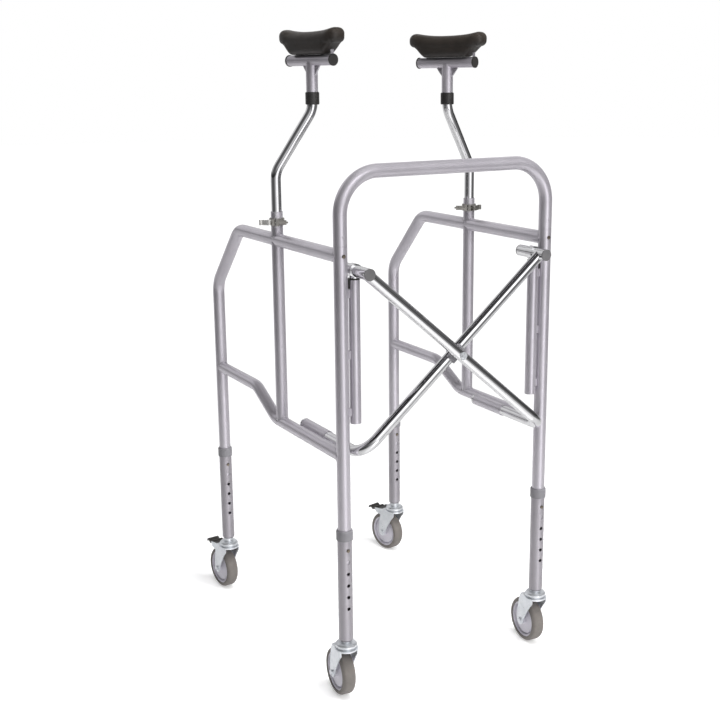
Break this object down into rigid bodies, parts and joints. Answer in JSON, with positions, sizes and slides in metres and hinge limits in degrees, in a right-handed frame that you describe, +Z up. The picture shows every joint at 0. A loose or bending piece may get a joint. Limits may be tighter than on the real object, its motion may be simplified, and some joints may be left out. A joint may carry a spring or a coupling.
{
  "type": "folding walking frame with underarm supports",
  "caption": "Folding tubular walking frame on swivel casters, with cranked, height-adjustable underarm pads, a cross brace, a front bow and brake pedals on the rear casters.",
  "frame": {"origin": "on the floor, midway between the axes of the four leg tubes", "axes": "+Z up; +X to the right seen from the front bow's side; the front bow is at -Y and the open rear end at +Y"},
  "size_m": [0.6082, 0.862, 1.4979],
  "materials": {
    "frame_tube": "satin silver-grey metallic paint on steel tube",
    "leg_tube": "satin grey metallic paint on steel tube",
    "chrome_tube": "bright chrome plating",
    "zinc": "bright zinc plating",
    "clamp_metal": "dull cast metal",
    "black_plastic": "matt black moulding",
    "grey_plastic": "grey moulding",
    "hub_plastic": "pale lavender-grey moulding",
    "tyre": "grey-brown rubber",
    "pedal": "dark grey moulding",
    "pad": "black stitched vinyl cover over foam"
  },
  "bodies": {
    "left_frame": {"left_front_upright": "frame_tube", "left_rear_tube": "frame_tube", "left_lower_rail": "frame_tube", "left_post_guide": "frame_tube", "left_guide_bush": "black_plastic", "left_clamp_collar": "clamp_metal"},
    "brace_b": {"brace_b": "chrome_tube", "brace_b_caps": "grey_plastic", "pivot_bolt": "zinc", "pivot_spacer": "grey_plastic"},
    "brace_a": {"brace_a": "chrome_tube", "brace_a_caps": "grey_plastic"},
    "right_frame": {"right_front_upright": "frame_tube", "right_rear_tube": "frame_tube", "right_lower_rail": "frame_tube", "right_post_guide": "frame_tube", "right_guide_bush": "black_plastic", "right_clamp_collar": "clamp_metal"},
    "left_slide": {"left_slide_tube": "chrome_tube"},
    "right_slide": {"right_slide_tube": "chrome_tube"},
    "bow": {"bow": "frame_tube", "bow_spigots": "frame_tube"},
    "left_bow_button": {"left_bow_button": "zinc"},
    "left_post": {"left_support_post": "chrome_tube"},
    "left_head": {"left_support_head": "frame_tube", "left_head_caps": "black_plastic", "left_underarm_pad": "pad"},
    "left_clamp_lever": {"left_clamp_lever": "clamp_metal"},
    "left_front_leg": {"left_front_leg_tube": "leg_tube", "left_front_leg_collar": "grey_plastic"},
    "left_front_leg_button": {"left_front_leg_button": "zinc"},
    "left_front_fork": {"left_front_caster_fork": "zinc"},
    "left_front_wheel": {"left_front_wheel_hub": "hub_plastic", "left_front_tyre": "tyre"},
    "left_rear_leg": {"left_rear_leg_tube": "leg_tube", "left_rear_leg_collar": "grey_plastic"},
    "left_rear_leg_button": {"left_rear_leg_button": "zinc"},
    "left_rear_fork": {"left_rear_caster_fork": "zinc"},
    "left_rear_wheel": {"left_rear_wheel_hub": "hub_plastic", "left_rear_tyre": "tyre"},
    "left_pedal": {"left_brake_pedal": "pedal"},
    "right_bow_button": {"right_bow_button": "zinc"},
    "right_post": {"right_support_post": "chrome_tube"},
    "right_head": {"right_support_head": "frame_tube", "right_head_caps": "black_plastic", "right_underarm_pad": "pad"},
    "right_clamp_lever": {"right_clamp_lever": "clamp_metal"},
    "right_front_leg": {"right_front_leg_tube": "leg_tube", "right_front_leg_collar": "grey_plastic"},
    "right_front_leg_button": {"right_front_leg_button": "zinc"},
    "right_front_fork": {"right_front_caster_fork": "zinc"},
    "right_front_wheel": {"right_front_wheel_hub": "hub_plastic", "right_front_tyre": "tyre"},
    "right_rear_leg": {"right_rear_leg_tube": "leg_tube", "right_rear_leg_collar": "grey_plastic"},
    "right_rear_leg_button": {"right_rear_leg_button": "zinc"},
    "right_rear_fork": {"right_rear_caster_fork": "zinc"},
    "right_rear_wheel": {"right_rear_wheel_hub": "hub_plastic", "right_rear_tyre": "tyre"},
    "right_pedal": {"right_brake_pedal": "pedal"}
  },
  "joints": [
    {"name": "fold", "type": "hinge", "parent": "left_frame", "child": "brace_b", "pos_m": [-0.2355, -0.345, 0.589], "axis": [0, -1, 0], "range_deg": [0, 30]},
    {"name": "brace_a_turn", "type": "hinge", "parent": "brace_b", "child": "brace_a", "pos_m": [0, -0.345, 0.791], "axis": [0, -1, 0], "range_deg": [-60, 0]},
    {"name": "right_frame_turn", "type": "hinge", "parent": "brace_a", "child": "right_frame", "pos_m": [0.2355, -0.345, 0.589], "axis": [0, -1, 0], "range_deg": [0, 30]},
    {"name": "left_slide_turn", "type": "hinge", "parent": "brace_a", "child": "left_slide", "pos_m": [-0.2355, -0.345, 0.993], "axis": [0, -1, 0], "range_deg": [0, 30]},
    {"name": "right_slide_turn", "type": "hinge", "parent": "brace_b", "child": "right_slide", "pos_m": [0.2355, -0.345, 0.993], "axis": [0, -1, 0], "range_deg": [-30, 0]},
    {"name": "bow_lift", "type": "slide", "parent": "left_frame", "child": "bow", "axis": [0, 0, 1], "range_m": [0, 0.37], "deforming": ["left_bow_button", "right_bow_button"]},
    {"name": "left_bow_button_press", "type": "slide", "parent": "bow", "child": "left_bow_button", "axis": [0, 1, 0], "range_m": [0, 0.005], "stiffness_N_per_m": 300, "springref_m": -0.002},
    {"name": "left_post_height", "type": "slide", "parent": "left_frame", "child": "left_post", "axis": [0, 0, 1], "range_m": [-0.04, 0.2]},
    {"name": "left_head_turn", "type": "hinge", "parent": "left_post", "child": "left_head", "pos_m": [-0.18017, -0.05477, 1.425], "axis": [0, 0, 1], "range_deg": [-45, 15]},
    {"name": "left_clamp_lever_swing", "type": "hinge", "parent": "left_frame", "child": "left_clamp_lever", "pos_m": [-0.29173, -0.0435, 1.068], "axis": [0, 0, 1], "range_deg": [-70, 33]},
    {"name": "left_front_leg_height", "type": "slide", "parent": "left_frame", "child": "left_front_leg", "axis": [0, 0, 1], "range_m": [0, 0.14], "deforming": ["left_front_leg_button"]},
    {"name": "left_front_leg_button_press", "type": "slide", "parent": "left_frame", "child": "left_front_leg_button", "axis": [0, 1, 0], "range_m": [0, 0.0045], "stiffness_N_per_m": 300, "springref_m": -0.002},
    {"name": "left_front_swivel", "type": "hinge", "parent": "left_front_leg", "child": "left_front_fork", "pos_m": [-0.2675, -0.345, 0.135], "axis": [0, 0, 1], "continuous": true},
    {"name": "left_front_wheel_spin", "type": "hinge", "parent": "left_front_fork", "child": "left_front_wheel", "pos_m": [-0.2652, -0.31208, 0.055], "axis": [0.9976, -0.0698, 0], "continuous": true},
    {"name": "left_rear_leg_height", "type": "slide", "parent": "left_frame", "child": "left_rear_leg", "axis": [0, 0, 1], "range_m": [0, 0.14], "deforming": ["left_rear_leg_button"]},
    {"name": "left_rear_leg_button_press", "type": "slide", "parent": "left_frame", "child": "left_rear_leg_button", "axis": [0, 1, 0], "range_m": [0, 0.0045], "stiffness_N_per_m": 300, "springref_m": -0.002},
    {"name": "left_rear_swivel", "type": "hinge", "parent": "left_rear_leg", "child": "left_rear_fork", "pos_m": [-0.2675, 0.345, 0.135], "axis": [0, 0, 1], "continuous": true},
    {"name": "left_rear_wheel_spin", "type": "hinge", "parent": "left_rear_fork", "child": "left_rear_wheel", "pos_m": [-0.27152, 0.37775, 0.055], "axis": [0.9925, 0.1219, 0], "continuous": true},
    {"name": "left_pedal_press", "type": "hinge", "parent": "left_rear_fork", "child": "left_pedal", "pos_m": [-0.27262, 0.38669, 0.118], "axis": [-0.9925, -0.1219, 0], "range_deg": [0, 8.5]},
    {"name": "right_bow_button_press", "type": "slide", "parent": "bow", "child": "right_bow_button", "axis": [0, 1, 0], "range_m": [0, 0.005], "stiffness_N_per_m": 300, "springref_m": -0.002},
    {"name": "right_post_height", "type": "slide", "parent": "right_frame", "child": "right_post", "axis": [0, 0, 1], "range_m": [-0.04, 0.2]},
    {"name": "right_head_turn", "type": "hinge", "parent": "right_post", "child": "right_head", "pos_m": [0.1819, -0.06081, 1.425], "axis": [0, 0, 1], "range_deg": [-45, 15]},
    {"name": "right_clamp_lever_swing", "type": "hinge", "parent": "right_frame", "child": "right_clamp_lever", "pos_m": [0.26454, -0.05924, 1.068], "axis": [0, 0, -1], "range_deg": [-12, 91]},
    {"name": "right_front_leg_height", "type": "slide", "parent": "right_frame", "child": "right_front_leg", "axis": [0, 0, 1], "range_m": [0, 0.14], "deforming": ["right_front_leg_button"]},
    {"name": "right_front_leg_button_press", "type": "slide", "parent": "right_frame", "child": "right_front_leg_button", "axis": [0, 1, 0], "range_m": [0, 0.0045], "stiffness_N_per_m": 300, "springref_m": -0.002},
    {"name": "right_front_swivel", "type": "hinge", "parent": "right_front_leg", "child": "right_front_fork", "pos_m": [0.2675, -0.345, 0.135], "axis": [0, 0, 1], "continuous": true},
    {"name": "right_front_wheel_spin", "type": "hinge", "parent": "right_front_fork", "child": "right_front_wheel", "pos_m": [0.26923, -0.31205, 0.055], "axis": [0.9986, -0.0523, 0], "continuous": true},
    {"name": "right_rear_leg_height", "type": "slide", "parent": "right_frame", "child": "right_rear_leg", "axis": [0, 0, 1], "range_m": [0, 0.14], "deforming": ["right_rear_leg_button"]},
    {"name": "right_rear_leg_button_press", "type": "slide", "parent": "right_frame", "child": "right_rear_leg_button", "axis": [0, 1, 0], "range_m": [0, 0.0045], "stiffness_N_per_m": 300, "springref_m": -0.002},
    {"name": "right_rear_swivel", "type": "hinge", "parent": "right_rear_leg", "child": "right_rear_fork", "pos_m": [0.2675, 0.345, 0.135], "axis": [0, 0, 1], "continuous": true},
    {"name": "right_rear_wheel_spin", "type": "hinge", "parent": "right_rear_fork", "child": "right_rear_wheel", "pos_m": [0.26008, 0.37715, 0.055], "axis": [0.9744, 0.225, 0], "continuous": true},
    {"name": "right_pedal_press", "type": "hinge", "parent": "right_rear_fork", "child": "right_pedal", "pos_m": [0.25805, 0.38592, 0.118], "axis": [-0.9744, -0.225, 0], "range_deg": [0, 8.5]}
  ],
  "couplings": [
    {"joint": "brace_a_turn", "follows": "fold", "ratio": -2},
    {"joint": "right_frame_turn", "follows": "fold", "ratio": 1},
    {"joint": "left_slide_turn", "follows": "fold", "ratio": 1},
    {"joint": "right_slide_turn", "follows": "fold", "ratio": -1},
    {"joint": "bow_lift", "follows": "fold", "m_per_rad": 0.6875}
  ]
}
